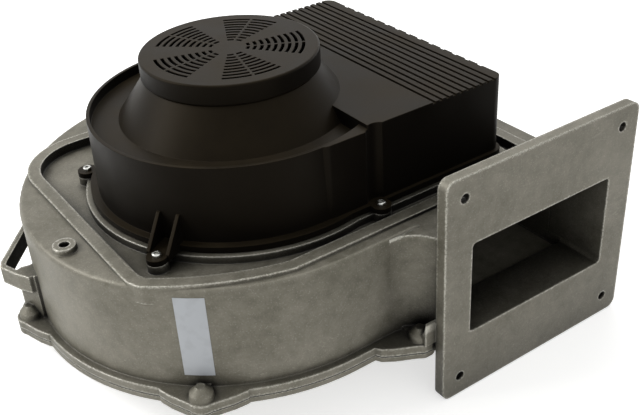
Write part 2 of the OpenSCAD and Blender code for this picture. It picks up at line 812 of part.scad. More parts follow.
module shaft_circlip() {
  color([0.4, 0.4, 0.42]) translate([0, 0, bell_top]) difference() {
    cylinder(h = 1.2, r = shaft_r + 3);
    translate([0, 0, -1]) cylinder(h = 4, r = shaft_r - 0.7);
    translate([0, -2, -1]) cube([20, 4, 4]);
  }
}

module cooling_wheel() {
  color([0.2, 0.2, 0.2]) translate([0, 0, bell_top]) {
    difference() {
      cylinder(h = 2, r = bell_r - 10);
      translate([0, 0, -1]) cylinder(h = 4, r = shaft_r + 6.5);
      for (k = [0:5]) rotate([0, 0, 60 * k]) translate([vent_pcr, 0, -1]) cylinder(h = 4, r = 7);
    }
    for (k = [0:11]) rotate([0, 0, 30 * k + 15]) translate([shaft_r + 12.5, -0.9, 1.5])
      cube([bell_r - shaft_r - 26.5, 1.8, 13]);
    difference() {
      cylinder(h = 10, r = shaft_r + 12.5);
      translate([0, 0, -1]) cylinder(h = 12, r = shaft_r + 6.5);
    }
  }
}

// ---------- impeller ----------
module impeller_hub() {
  color([0.6, 0.6, 0.58]) translate([0, 0, hub_top - 22]) difference() {
    union() {
      cylinder(h = 18, r = hub_r + 0.3);
      translate([0, 0, 12]) cylinder(h = 6, r = rivet_pcr + 8);
      cylinder(h = 22, r = hub_r);
    }
    translate([0, 0, -1]) cylinder(h = 30, r = shaft_r);
    for (k = [0:7]) rotate([0, 0, 45 * k]) translate([rivet_pcr, 0, 0])
      cylinder(h = 30, r = rivet_r, $fn = 48);
  }
}

module impeller_plate() {
  color([0.66, 0.67, 0.67]) translate([0, 0, plate_z]) difference() {
    cylinder(h = plate_t, r = wheel_r);
    translate([0, 0, -1]) cylinder(h = 6, r = hub_r);
    for (k = [0:7]) rotate([0, 0, 45 * k]) translate([rivet_pcr, 0, -1])
      cylinder(h = 10, r = rivet_r, $fn = 48);
  }
}

shroud_z = plate_z - wheel_b;
module shroud_under(t) {
  rotate_extrude() polygon([[0, shroud_z - 60], [wheel_r + 5, shroud_z - 60],
    [wheel_r + 5, shroud_z + 5 * 12 / 69 + t], [wheel_r, shroud_z + t],
    [eye_r, shroud_z - (wheel_r - eye_r) * 12 / 69 + t], [0, shroud_z - (wheel_r - eye_r) * 12 / 69 + t]]);
}

// a blade is an arc of this radius, its centre this far from the axis
blade_ro = wheel_r - 1.5;
blade_ri = eye_r + 4;
arc_r = (blade_ro ^ 2 - blade_ri ^ 2) / 2 / (blade_ro * cos(blade_out) - blade_ri * cos(blade_in));
arc_off = sqrt(arc_r ^ 2 + blade_ro ^ 2 - 2 * arc_r * blade_ro * cos(blade_out));

module impeller_blades() {
  color([0.64, 0.65, 0.65]) difference() {
    translate([0, 0, shroud_z - 30]) linear_extrude(plate_z - shroud_z + 30)
      for (k = [0:blade_n - 1]) rotate(360 / blade_n * k) intersection() {
        difference() {
          circle(r = blade_ro);
          circle(r = blade_ri);
        }
        translate([arc_off, 0]) difference() {
          circle(r = arc_r + blade_t / 2);
          circle(r = arc_r - blade_t / 2);
        }
        translate([-2 * wheel_r, -2 * wheel_r]) square([4 * wheel_r, 2 * wheel_r]);
      }
    shroud_under(0);
  }
}

module impeller_shroud() {
  z0 = shroud_z - (wheel_r - eye_r) * 12 / 69;
  color([0.67, 0.68, 0.68]) rotate_extrude() {
    polygon([[eye_r, z0 - shroud_t], [wheel_r, shroud_z - shroud_t], [wheel_r, shroud_z], [eye_r, z0]]);
    translate([eye_r, z0 - 9]) square([shroud_t, 9]);
  }
}

module hub_rivets() {
  color([0.7, 0.7, 0.68]) for (k = [0:7]) rotate([0, 0, 45 * k])
    translate([rivet_pcr, 0, hub_top - 10]) {
    cylinder(h = 6 + plate_t, r = rivet_r, $fn = 48);
    translate([0, 0, -2]) cylinder(h = 2, r = 1.7 * rivet_r, $fn = 48);
    translate([0, 0, 6 + plate_t]) cylinder(h = 1.6, r = 1.7 * rivet_r, $fn = 48);
  }
}

module impeller_washer() {
  color([0.74, 0.74, 0.72]) translate([0, 0, hub_top - 24.5]) difference() {
    cylinder(h = 2.5, r = 13);
    translate([0, 0, -1]) cylinder(h = 2.5, r = thread_r);
    translate([0, 0, -1]) cylinder(h = 5, r = shaft_r);
  }
}

module impeller_nut() {
  color([0.72, 0.72, 0.7]) translate([0, 0, hub_top - 24.5 - nut_h]) difference() {
    cylinder(h = nut_h, r = 11, $fn = 6);
    translate([0, 0, -1]) cylinder(h = nut_h + 2, r = thread_r);
  }
}

// ---------- electronics ----------
bx = board_x - 6;
board_pts = [[-bx, board_y0 + 5], [-bx, board_y1 - 5], [0, board_y1 - 5], [bx, board_y0 + 5],
  [bx, board_y1 - 5]];
board_screw_r = 1.4;

module heat_sink() {
  color([0.66, 0.67, 0.68]) difference() {
    union() {
      translate([-board_x - 2, tray_y0, tray_z]) cube([2 * board_x + 4, board_d + 3, tray_t]);
      for (k = [0:10]) translate([-96 + 8 * k, 150, tray_z + tray_t - 1]) cube([2.5, 34, 10]);
      for (p = board_pts) translate([p[0], p[1], tray_z + 1]) cylinder(h = board_z - tray_z - 1, r = 4);
      for (i = [-1, 1]) translate([i * 100, 141, plat_z]) cylinder(h = 4, r = 7);
    }
    for (p = board_pts) translate([p[0], p[1], board_z - 8]) cylinder(h = 20, r = board_screw_r, $fn = 48);
  }
}

module circuit_board() {
  color([0.1, 0.32, 0.18]) translate([0, 0, board_z]) difference() {
    translate([-board_x, board_y0, 0]) cube([2 * board_x, board_d, board_t]);
    for (p = board_pts) translate([p[0], p[1], -1]) cylinder(h = 5, r = board_screw_r, $fn = 48);
  }
}

module board_screws() {
  color([0.75, 0.75, 0.72]) for (p = board_pts) translate([p[0], p[1], board_z - 7]) {
    cylinder(h = 7 + board_t, r = board_screw_r, $fn = 48);
    translate([0, 0, 7 + board_t]) cylinder(h = 2, r = 2 * board_screw_r, $fn = 48);
  }
}

module power_module() {
  color([0.12, 0.12, 0.13]) translate([30, 108, tray_z + tray_t]) cube([60, 34, board_z - tray_z - tray_t]);
}

module capacitors() {
  color([0.2, 0.22, 0.3]) for (x = [-78, -46, -14]) translate([x, 116, board_z + board_t])
    cylinder(h = can_h, r = can_r);
}

module line_choke() {
  color([0.55, 0.3, 0.15]) translate([28, 118, board_z + board_t]) {
    translate([0, 0, 9]) rotate_extrude() translate([11, 0]) circle(r = 6, $fn = 48);
    cylinder(h = 4, r = 13);
  }
}

module terminal_block() {
  pitch = term_l / (term_n + 0.5);
  color([0.2, 0.45, 0.25]) translate([10, board_y1 - 23, board_z + board_t]) difference() {
    cube([term_l, 15, 16]);
    for (k = [0:term_n - 1]) translate([(k + 0.75) * pitch, 7, 6])
      cylinder(h = 20, r = 0.32 * pitch, $fn = 48);
    for (k = [0:term_n - 1]) translate([(k + 0.75) * pitch, 8, 4.5]) rotate([-90, 0, 0])
      cylinder(h = 20, r = 0.27 * pitch, $fn = 48);
  }
}

module gland_at(g, y) {
  translate([g[0], y, g[1]]) rotate([-90, 0, 0]) children();
}

module gland_bodies() {
  color([0.2, 0.2, 0.2]) for (g = gland_xy) gland_at(g, box_y - cover_t - 6) difference() {
    union() {
      cylinder(h = 6 + cover_t + 1, r = gland_hole_r, $fn = 48);
      translate([0, 0, 6 + cover_t]) cylinder(h = 5, r = 14, $fn = 6);
      translate([0, 0, 6 + cover_t]) cylinder(h = 15, r = 9.5, $fn = 48);
    }
    translate([0, 0, -5]) cylinder(h = 60, r = 6, $fn = 48);
  }
}

module gland_seals() {
  color([0.35, 0.35, 0.34]) for (g = gland_xy) gland_at(g, box_y + 7) difference() {
    cylinder(h = 8, r = 6, $fn = 48);
    translate([0, 0, -5]) cylinder(h = 30, r = 3.5, $fn = 48);
  }
}

module gland_nuts() {
  color([0.18, 0.18, 0.18]) for (g = gland_xy) gland_at(g, box_y + 5) difference() {
    union() {
      cylinder(h = 9, r = 13, $fn = 6);
      translate([0, 0, 8]) cylinder(h = 6, r1 = 11, r2 = 8, $fn = 48);
    }
    translate([0, 0, -5]) cylinder(h = 15, r = 9.5, $fn = 48);
    translate([0, 0, 5]) cylinder(h = 30, r = 5, $fn = 48);
  }
}

module gland_locknuts() {
  color([0.5, 0.5, 0.48]) for (g = gland_xy) gland_at(g, box_y - cover_t - 5) difference() {
    cylinder(h = 5, r = 14, $fn = 6);
    translate([0, 0, -5]) cylinder(h = 30, r = gland_hole_r, $fn = 48);
  }
}

scroll_housing();
base_gasket();
base_cover();
base_screws();
inlet_nozzle();
nozzle_screws();
blank_label();
motor_cover();
vent_cap();
cover_seal();
cover_screws();
motor_flange();
motor_gasket();
motor_screws();
stator_core();
insulation_caps();
stator_windings();
shaft_seal();
lower_outer_race();
lower_inner_race();
lower_cage();
lower_balls();
upper_outer_race();
upper_inner_race();
upper_cage();
upper_balls();
preload_washer();
shaft();
rotor_bell();
rotor_magnets();
shaft_circlip();
cooling_wheel();
impeller_hub();
impeller_plate();
impeller_blades();
impeller_shroud();
hub_rivets();
impeller_washer();
impeller_nut();
heat_sink();
circuit_board();
board_screws();
power_module();
capacitors();
line_choke();
terminal_block();
gland_bodies();
gland_seals();
gland_nuts();
gland_locknuts();
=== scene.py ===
"""Looks of a radial blower: cast scroll housing, moulded motor cover, motor, bearings,
impeller and drive electronics. Every object is in metres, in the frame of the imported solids.
Surfaces are worked out in millimetres, and put() turns them to metres."""
import math

import bmesh
import bpy
import numpy as np
from mathutils import Matrix, Vector


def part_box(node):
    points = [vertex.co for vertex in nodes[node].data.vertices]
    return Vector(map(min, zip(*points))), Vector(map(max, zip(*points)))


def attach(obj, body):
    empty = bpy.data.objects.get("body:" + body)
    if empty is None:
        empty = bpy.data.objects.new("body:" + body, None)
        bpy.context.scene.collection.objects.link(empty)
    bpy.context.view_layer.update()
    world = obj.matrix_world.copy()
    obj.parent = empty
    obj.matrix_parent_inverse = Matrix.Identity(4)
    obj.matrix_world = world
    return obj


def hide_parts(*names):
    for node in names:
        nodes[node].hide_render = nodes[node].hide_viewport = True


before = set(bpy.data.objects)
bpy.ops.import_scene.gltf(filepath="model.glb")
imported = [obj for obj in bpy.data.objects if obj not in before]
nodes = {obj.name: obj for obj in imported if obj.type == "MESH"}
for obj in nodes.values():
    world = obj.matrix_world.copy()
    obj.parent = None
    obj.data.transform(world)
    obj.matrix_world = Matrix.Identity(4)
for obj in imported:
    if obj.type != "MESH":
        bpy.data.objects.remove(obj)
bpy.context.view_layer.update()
MM = 0.001
WHITE = (1.0, 1.0, 1.0, 1.0)


# ---------- small tools ----------
def srgb(code):
    """Linear colour of an sRGB hex code: c / 12.92 up to 0.04045, and above that
    ((c + 0.055) / 1.055) ^ 2.4."""
    channels = [int(code[i:i + 2], 16) / 255 for i in (0, 2, 4)]
    return [c / 12.92 if c <= 0.04045 else ((c + 0.055) / 1.055) ** 2.4 for c in channels] + [1.0]


def every(mm):
    """Texture scale whose features lie this many millimetres apart."""
    return 1.0 / (mm * MM)


def connect(node, inputs):
    """Fills a node's sockets, by name or number, each with a value or a link. A link comes from a
    socket, or from a node's first output. Sockets that its settings turn off are passed over."""
    for key, value in inputs.items():
        if isinstance(key, int):
            socket = node.inputs[key]
        else:
            socket = next(s for s in node.inputs if s.name == key and s.enabled)
        if isinstance(value, bpy.types.Node):
            value = next(s for s in value.outputs if s.enabled)
        if isinstance(value, bpy.types.NodeSocket):
            node.id_data.links.new(value, socket)
        else:
            socket.default_value = value


def add(tree, kind, inputs=None, **settings):
    """Adds a node with its own settings, and fills its sockets."""
    node = tree.nodes.new(kind)
    for name, value in settings.items():
        setattr(node, name, value)
    connect(node, inputs or {})
    return node


def new_material(name, fixed):
    """A material with its Principled shader, whose constant values are set on its own sockets."""
    mat = bpy.data.materials.new(name)
    mat.use_nodes = True
    tree = mat.node_tree
    tree.nodes.clear()
    shader = add(tree, "ShaderNodeBsdfPrincipled", fixed)
    add(tree, "ShaderNodeOutputMaterial", {"Surface": shader})
    return mat, tree, shader


def dress(mat, *names):
    """Gives CAD nodes their finish."""
    for name in names:
        nodes[name].data.materials.clear()
        nodes[name].data.materials.append(mat)


# ---------- materials ----------
RAYS = 6  # per sample, from a point to what is near it: enough for a smooth edge or corner


def cast_aluminium(name, dark, light, grain_mm, edge_mm, deep_shade=0.0):
    """Blasted aluminium casting: satin grey mottled in soft patches, with a fine sandy grain and
    a few handling scratches, glints painted on its grain, edges painted bright as wear and
    highlight, corners painted dull as shade and dust, and painted shade deep inside."""
    mat, t, shader = new_material(name, {"Metallic": 0.35, "Specular IOR Level": 0.4})
    at = add(t, "ShaderNodeTexCoord").outputs["Object"]
    clouds = add(t, "ShaderNodeTexNoise", {"Vector": at, "Scale": every(70), "Detail": 2.0})
    patches = add(t, "ShaderNodeTexNoise",
                  {"Vector": at, "Scale": every(11), "Detail": 5.0, "Roughness": 0.6})
    # blasting leaves a grain of about 0.3 mm, drawn coarser so that it shows
    grain = add(t, "ShaderNodeTexNoise", {"Vector": at, "Scale": every(grain_mm), "Detail": 2.0})
    both = add(t, "ShaderNodeMath", {0: clouds, 1: patches}, operation="ADD")
    speckled = add(t, "ShaderNodeMath", {0: grain, 1: 0.35, 2: both}, operation="MULTIPLY_ADD")
    tone = add(t, "ShaderNodeMapRange", {"Value": speckled, "From Min": 0.85, "From Max": 1.5})
    # scratches: thin lines where a stretched noise crosses its middle, in some of the clouds
    slanted = add(t, "ShaderNodeMapping", {"Vector": at, "Rotation": (0.4, 0.7, 0.5),
                                           "Scale": (1.0, 0.08, 0.3)})
    lines = add(t, "ShaderNodeTexNoise", {"Vector": slanted, "Scale": every(3.5), "Detail": 1.0})
    off = add(t, "ShaderNodeMath", {0: lines, 1: 0.5}, operation="SUBTRACT")
    near = add(t, "ShaderNodeMath", {0: off}, operation="ABSOLUTE")
    thin = add(t, "ShaderNodeMapRange",
               {"Value": near, "From Max": 0.006, "To Min": 1.0, "To Max": 0.0})
    where = add(t, "ShaderNodeMapRange",
                {"Value": clouds, "From Min": 0.52, "From Max": 0.62, "To Max": 0.35})
    scratch = add(t, "ShaderNodeMath", {0: thin, 1: where}, operation="MULTIPLY")
    # blasting leaves facets about 0.1 mm wide; specks drawn at 0.9 mm are painted pale as glints, a
    # painted highlight
    cell = add(t, "ShaderNodeVectorMath", {0: at, 1: (0.9 * MM,) * 3}, operation="SNAP")
    facets = add(t, "ShaderNodeTexWhiteNoise", {"Vector": cell})
    painted_glint = add(t, "ShaderNodeMapRange", {"Value": facets, "From Min": 0.9, "To Max": 0.14})
    # inside a solid, rays are soon stopped near an outer edge: that finds the edges
    inside = add(t, "ShaderNodeAmbientOcclusion", {"Distance": edge_mm * MM},
                 samples=RAYS, inside=True).outputs["AO"]
    # edges painted bright: partly wear, partly a painted highlight on the rounded edges
    edge_wear_and_highlight = add(t, "ShaderNodeMath", {0: inside, 1: grain}, operation="ADD")
    edge = add(t, "ShaderNodeMapRange",
               {"Value": edge_wear_and_highlight, "From Min": 1.25, "From Max": 0.95, "To Max": 0.9})
    # painted shade and dust within 7 mm of a corner, painted shade where walls close in within 150
    # mm
    corner = add(t, "ShaderNodeAmbientOcclusion", {"Distance": 7 * MM}, samples=RAYS).outputs["AO"]
    dust_and_painted_shading = add(t, "ShaderNodeMapRange",
               {"Value": corner, "From Min": 0.3, "From Max": 0.8, "To Min": 0.3, "To Max": 0.0})
    deep = add(t, "ShaderNodeAmbientOcclusion", {"Distance": 150 * MM}, samples=RAYS).outputs["AO"]
    painted_deep_shade = add(t, "ShaderNodeMapRange",
               {"Value": deep, "From Min": 0.32, "From Max": 0.62, "To Min": deep_shade, "To Max": 0.0})
    colour = add(t, "ShaderNodeMix", {"Factor": tone, "A": srgb(dark), "B": srgb(light)},
                 data_type="RGBA")
    # layers over the tone: scratches, painted glints, edges painted bright as wear and highlight,
    # corners painted darker as shade and dust, and painted shade deep inside
    for layer, shade in ((scratch, "a8a59b"), (painted_glint, "cfccc2"), (edge, "d2cfc3"),
                         (dust_and_painted_shading, "403d33"), (painted_deep_shade, "0d0b0a")):
        colour = add(t, "ShaderNodeMix", {"Factor": layer, "A": colour, "B": srgb(shade)},
                     data_type="RGBA")
    blasted = add(t, "ShaderNodeMapRange", {"Value": patches, "From Min": 0.3, "From Max": 0.7,
                                            "To Min": 0.4, "To Max": 0.54})
    rough = add(t, "ShaderNodeMix", {"Factor": edge, "A": blasted, "B": 0.26})
    relief = add(t, "ShaderNodeMath", {0: patches, 1: 0.6, 2: grain}, operation="MULTIPLY_ADD")
    # a casting's edges are rounded by about 2 mm
    rounded = add(t, "ShaderNodeBevel", {"Radius": 2.2 * MM}, samples=8)
    bump = add(t, "ShaderNodeBump", {"Height": relief, "Distance": 0.25 * MM, "Strength": 0.7,
                                     "Normal": rounded})
    connect(shader, {"Base Color": colour, "Roughness": rough, "Normal": bump})
    return mat


def moulded_plastic(name, base, dust_and_highlight_colour, rough, gloss=0.3, grain_mm=0.8, tint="ffffff"):
    """Thermoplastic out of a spark eroded mould: matt, with a fine grain, edges painted a little
    paler as wear and highlight, and a film of dust on what faces up, which also paints upward faces
    paler as lit from above."""
    mat, t, shader = new_material(name, {"Metallic": 0.0, "IOR": 1.5, "Specular IOR Level": gloss,
                                         "Specular Tint": srgb(tint)})
    where = add(t, "ShaderNodeTexCoord")
    at = where.outputs["Object"]
    film = add(t, "ShaderNodeTexNoise", {"Vector": at, "Scale": every(40), "Detail": 5.0})
    # a mould's grain is about 0.2 mm, drawn coarser so that it shows
    grain = add(t, "ShaderNodeTexNoise", {"Vector": at, "Scale": every(grain_mm), "Detail": 1.0})
    facing = add(t, "ShaderNodeSeparateXYZ", {"Vector": where.outputs["Normal"]})
    up = add(t, "ShaderNodeMapRange",
             {"Value": facing.outputs["Z"], "From Min": 0.2, "To Max": 1.3})
    # dust on upward faces, which also paints them paler as if lit from above
    dust_and_painted_shading = add(t, "ShaderNodeMath", {0: film, 1: up}, operation="MULTIPLY")
    inside = add(t, "ShaderNodeAmbientOcclusion", {"Distance": 1.6 * MM},
                 samples=RAYS, inside=True).outputs["AO"]
    # edges painted paler: partly wear, partly a painted highlight
    edge = add(t, "ShaderNodeMapRange",
               {"Value": inside, "From Min": 0.7, "From Max": 0.45, "To Max": 0.4})
    colour = add(t, "ShaderNodeMix", {"Factor": dust_and_painted_shading, "A": srgb(base), "B": srgb(dust_and_highlight_colour)},
                 data_type="RGBA")
    colour = add(t, "ShaderNodeMix", {"Factor": edge, "A": colour, "B": srgb(dust_and_highlight_colour)},
                 data_type="RGBA")
    sheen = add(t, "ShaderNodeMapRange", {"Value": film, "From Min": 0.3, "From Max": 0.7,
                                          "To Min": rough[0], "To Max": rough[1]})
    rounded = add(t, "ShaderNodeBevel", {"Radius": 0.9 * MM}, samples=8)
    bump = add(t, "ShaderNodeBump", {"Height": grain, "Distance": 0.08 * MM, "Strength": 0.6,
                                     "Normal": rounded})
    connect(shader, {"Base Color": colour, "Roughness": sheen, "Normal": bump})
    return mat


def worked_metal(name, dark, light, rough, stroke_mm, stretch=(1, 1, 6), round_tool=False):
    """Bare metal with the strokes of its last working: along one way on rolled, ground or tumbled
    metal, in rings round the shaft on turned and spun metal, with faint stains and painted shade in
    its corners. Real strokes are about 0.05 mm apart, and these are drawn coarser so that they
    show."""
    mat, t, shader = new_material(name, {"Metallic": 1.0})
    at = add(t, "ShaderNodeTexCoord").outputs["Object"]
    start = at
    if round_tool:
        # rings: the pattern reads distance from the shaft, and height
        parts = add(t, "ShaderNodeSeparateXYZ", {"Vector": at}).outputs
        flat = add(t, "ShaderNodeCombineXYZ", {"X": parts["X"], "Y": parts["Y"]})
        away = add(t, "ShaderNodeVectorMath", {0: flat}, operation="LENGTH")
        start = add(t, "ShaderNodeCombineXYZ", {"X": away, "Z": parts["Z"]})
    stretched = add(t, "ShaderNodeMapping", {"Vector": start, "Scale": stretch})
    strokes = add(t, "ShaderNodeTexNoise",
                  {"Vector": stretched, "Scale": every(stroke_mm), "Detail": 3.0})
    stain = add(t, "ShaderNodeTexNoise", {"Vector": at, "Scale": every(8), "Detail": 4.0})
    # painted shade: darker within 3 mm of a corner
    corner = add(t, "ShaderNodeAmbientOcclusion", {"Distance": 3 * MM}, samples=RAYS).outputs["AO"]
    painted_corner_shade = add(t, "ShaderNodeMapRange",
                 {"Value": corner, "From Min": 0.3, "From Max": 0.8, "To Min": 0.6, "To Max": 0.0})
    colour = add(t, "ShaderNodeMix", {"Factor": stain, "A": srgb(dark), "B": srgb(light)},
                 data_type="RGBA")
    colour = add(t, "ShaderNodeMix", {"Factor": painted_corner_shade, "A": colour, "B": srgb("45433e")},
                 data_type="RGBA")
    sheen = add(t, "ShaderNodeMapRange", {"Value": strokes, "From Min": 0.3, "From Max": 0.7,
                                          "To Min": rough[0], "To Max": rough[1]})
    rounded = add(t, "ShaderNodeBevel", {"Radius": 0.3 * MM}, samples=4)
    bump = add(t, "ShaderNodeBump", {"Height": strokes, "Distance": 0.04 * MM, "Strength": 0.4,
                                     "Normal": rounded})
    connect(shader, {"Base Color": colour, "Roughness": sheen, "Normal": bump})
    return mat


def rubber(name, base, chalky, fibre_mm):
    """Moulded rubber or pressed fibre: matt, slightly chalky where it was handled. Its grain is
    about 0.1 mm, drawn coarser so that it shows."""
    mat, t, shader = new_material(name, {"Metallic": 0.0, "IOR": 1.52, "Roughness": 0.85})
    at = add(t, "ShaderNodeTexCoord").outputs["Object"]
    bloom = add(t, "ShaderNodeTexNoise", {"Vector": at, "Scale": every(7), "Detail": 6.0})
    chalk = add(t, "ShaderNodeMapRange",
                {"Value": bloom, "From Min": 0.45, "From Max": 0.75, "To Max": 0.6})
    colour = add(t, "ShaderNodeMix", {"Factor": chalk, "A": srgb(base), "B": srgb(chalky)},
                 data_type="RGBA")
    fibres = add(t, "ShaderNodeTexNoise", {"Vector": at, "Scale": every(fibre_mm), "Detail": 4.0})
    bump = add(t, "ShaderNodeBump", {"Height": fibres, "Distance": 0.1 * MM, "Strength": 0.5})
    connect(shader, {"Base Color": colour, "Normal": bump})
    return mat


def label_film():
    """White polyester label film: smooth, a little glossy, greyed in patches by handling."""
    mat, t, shader = new_material("label_polyester_film", {"Metallic": 0.0, "IOR": 1.6})
    at = add(t, "ShaderNodeTexCoord").outputs["Object"]
    grime = add(t, "ShaderNodeTexNoise", {"Vector": at, "Scale": every(10), "Detail": 6.0})
    smear = add(t, "ShaderNodeMapRange",
                {"Value": grime, "From Min": 0.5, "From Max": 0.8, "To Max": 0.35})
    colour = add(t, "ShaderNodeMix", {"Factor": smear, "A": srgb("c2c6cb"), "B": srgb("9a9da0")},
                 data_type="RGBA")
    rough = add(t, "ShaderNodeMapRange", {"Value": grime, "From Min": 0.3, "From Max": 0.7,
                                          "To Min": 0.28, "To Max": 0.42})
    connect(shader, {"Base Color": colour, "Roughness": rough})
    return mat


def stacked_steel():
    """Stator laminations: punched electrical steel sheets in a stack, varnished grey brown. The
    sheets are 0.5 mm thick, drawn with a dark joint every 2 mm so that they show."""
    mat, t, shader = new_material("stator_steel_laminated", {"Metallic": 0.8})
    at = add(t, "ShaderNodeTexCoord").outputs["Object"]
    height = add(t, "ShaderNodeSeparateXYZ", {"Vector": at}).outputs["Z"]
    sheet = add(t, "ShaderNodeMath", {0: height, 1: 1.0 * MM}, operation="PINGPONG")
    line = add(t, "ShaderNodeMapRange", {"Value": sheet, "From Max": 0.25 * MM})
    varnish = add(t, "ShaderNodeTexNoise", {"Vector": at, "Scale": every(9), "Detail": 4.0})
    plain = add(t, "ShaderNodeMix", {"Factor": varnish, "A": srgb("6f7074"), "B": srgb("8b7f70")},
                data_type="RGBA")
    colour = add(t, "ShaderNodeMix", {"Factor": line, "A": srgb("35332f"), "B": plain},
                 data_type="RGBA")
    rough = add(t, "ShaderNodeMapRange", {"Value": varnish, "To Min": 0.35, "To Max": 0.55})
    bump = add(t, "ShaderNodeBump", {"Height": line, "Distance": 0.1 * MM})
    connect(shader, {"Base Color": colour, "Roughness": rough, "Normal": bump})
    return mat


def board_laminate():
    """Glass epoxy board under green solder mask: broad copper areas show paler through it, with
    straight dark gaps between them. Its weave is drawn at 1.2 mm, twice the real one."""
    mat, t, shader = new_material("board_epoxy_glass_masked",
                                  {"Metallic": 0.0, "IOR": 1.5, "Coat Weight": 0.4})
    at = add(t, "ShaderNodeTexCoord").outputs["Object"]
    cells = add(t, "ShaderNodeTexVoronoi", {"Vector": at, "Scale": every(14)},
                distance="CHEBYCHEV")
    gap = add(t, "ShaderNodeMapRange", {"Value": cells, "From Min": 0.42, "From Max": 0.46})
    colour = add(t, "ShaderNodeMix", {"Factor": gap, "A": srgb("2b6b41"), "B": srgb("1a4529")},
                 data_type="RGBA")
    weave = add(t, "ShaderNodeTexNoise", {"Vector": at, "Scale": every(1.2), "Detail": 2.0})
    rough = add(t, "ShaderNodeMapRange", {"Value": weave, "To Min": 0.3, "To Max": 0.45})
    bump = add(t, "ShaderNodeBump", {"Height": gap, "Distance": -0.05 * MM})
    connect(shader, {"Base Color": colour, "Roughness": rough, "Normal": bump})
    return mat


def shrunk_sleeve():
    """Shrunk polyester sleeve of a capacitor: glossy dark blue, with faint stretch marks."""
    mat, t, shader = new_material("capacitor_polyester_sleeve", {"Metallic": 0.0, "IOR": 1.57})
    at = add(t, "ShaderNodeTexCoord").outputs["Object"]
    upright = add(t, "ShaderNodeMapping", {"Vector": at, "Scale": (1.0, 1.0, 0.15)})
    marks = add(t, "ShaderNodeTexNoise", {"Vector": upright, "Scale": every(4)})
    colour = add(t, "ShaderNodeMix", {"Factor": marks, "A": srgb("1b2130"), "B": srgb("2a3348")},
                 data_type="RGBA")
    rough = add(t, "ShaderNodeMapRange", {"Value": marks, "To Min": 0.22, "To Max": 0.4})
    bump = add(t, "ShaderNodeBump", {"Height": marks, "Distance": 0.05 * MM, "Strength": 0.4})
    connect(shader, {"Base Color": colour, "Roughness": rough, "Normal": bump})
    return mat


# sand cast and blasted: a warm grey, edges painted bright as wear and highlight, and painted shade
# deep in its air way
casting = cast_aluminium("scroll_cast_aluminium_blasted", "5f5c4f", "848074",
                         grain_mm=1.6, edge_mm=3.2, deep_shade=1.0)
# the same metal as a thin plate, on which only the very edge is painted bright as wear and
# highlight
plate = cast_aluminium("base_cast_aluminium_blasted", "5f5c4f", "848074",
                       grain_mm=1.6, edge_mm=1.2)
# die cast: paler, with a closer grain
die_cast = cast_aluminium("motor_die_cast_aluminium", "8f908e", "b3b4b1",
                          grain_mm=1.1, edge_mm=1.5)

# near black with a warm, silky sheen; its upward faces and edges are painted paler as dust, wear
# and painted light
cover_polyamide = moulded_plastic("cover_polyamide_moulded", "0c0a08", "2a241a", (0.36, 0.48),
                                  gloss=0.1, tint="d8c4a4")
# matt black and matt grey of small fittings
black_polyamide = moulded_plastic("gland_polyamide_moulded", "1d1d1f", "37362f", (0.45, 0.6))
grey_polyamide = moulded_plastic("locknut_polyamide_moulded", "6d6d69", "8b8a84", (0.4, 0.55))
# glass filled: amber, cloudy
cage_polyamide = moulded_plastic("cage_polyamide_glass_filled", "7a6038", "9a8355", (0.4, 0.55))
# cream and green, a little smoother
cream_polyester = moulded_plastic("insulation_polyester_moulded", "cfc5a6", "dcd5bf", (0.4, 0.55))
green_polyester = moulded_plastic("terminal_polyester_moulded", "2f6b3c", "5b8a62", (0.35, 0.5))
black_epoxy = moulded_plastic("module_epoxy_moulded", "17171a", "33333a", (0.35, 0.5))
# sintered: charcoal, dull, with a gritty grain
ferrite = moulded_plastic("magnet_ferrite_sintered", "2c2c2f", "4a4a4d", (0.5, 0.65),
                          gloss=0.5, grain_mm=0.5)

# pale and bright, with soft highlights from tumbling
zinc = worked_metal("screw_steel_zinc_plated", "b4b5b2", "e2e2dc", (0.16, 0.36), stroke_mm=0.5)
# fine strokes and clear highlights
ground = worked_metal("shaft_steel_ground", "a9abae", "c9cbcd", (0.12, 0.26), stroke_mm=0.3)
# nearly a mirror
lapped = worked_metal("ball_steel_lapped", "c4c6c8", "dcdddf", (0.04, 0.09), stroke_mm=1.0)
# dark blue grey from its tempering
blued = worked_metal("washer_spring_steel_blued", "4b4f58", "6a6c70", (0.25, 0.4),
                     stroke_mm=0.5)
# mid grey, with long strokes up the wall
drawn = worked_metal("bell_steel_deep_drawn", "7d7f82", "a0a1a2", (0.25, 0.45),
                     stroke_mm=0.6, stretch=(1, 1, 0.1))
# pale, with rings round the shaft
spun = worked_metal("wheel_aluminium_spun", "a9aaaa", "cfd0ce", (0.25, 0.42),
                    stroke_mm=0.7, stretch=(1, 1, 1), round_tool=True)
lathed = worked_metal("hub_aluminium_turned", "b0b1b0", "d4d4d1", (0.18, 0.35),
                      stroke_mm=0.4, stretch=(1, 1, 1), round_tool=True)
# pale, with long rolling marks
rolled = worked_metal("blade_aluminium_rolled", "a6a7a6", "c6c7c5", (0.28, 0.45),
                      stroke_mm=0.6, stretch=(1, 1, 0.06))
# red brown under clear enamel that is a little wavy
copper = worked_metal("winding_copper_enamelled", "8d4a22", "b9692f", (0.2, 0.35),
                      stroke_mm=3.0, stretch=(1, 1, 1))

# matt black and grey rubber, and grey brown pressed fibre
black_rubber = rubber("seal_rubber_moulded", "131313", "2a2927", fibre_mm=0.7)
pressed_fibre = rubber("gasket_fibre_pressed", "3a3b38", "5b5b55", fibre_mm=0.9)
grey_rubber = rubber("gland_rubber_moulded", "3b3b3d", "575756", fibre_mm=0.7)
sleeve_film = shrunk_sleeve()

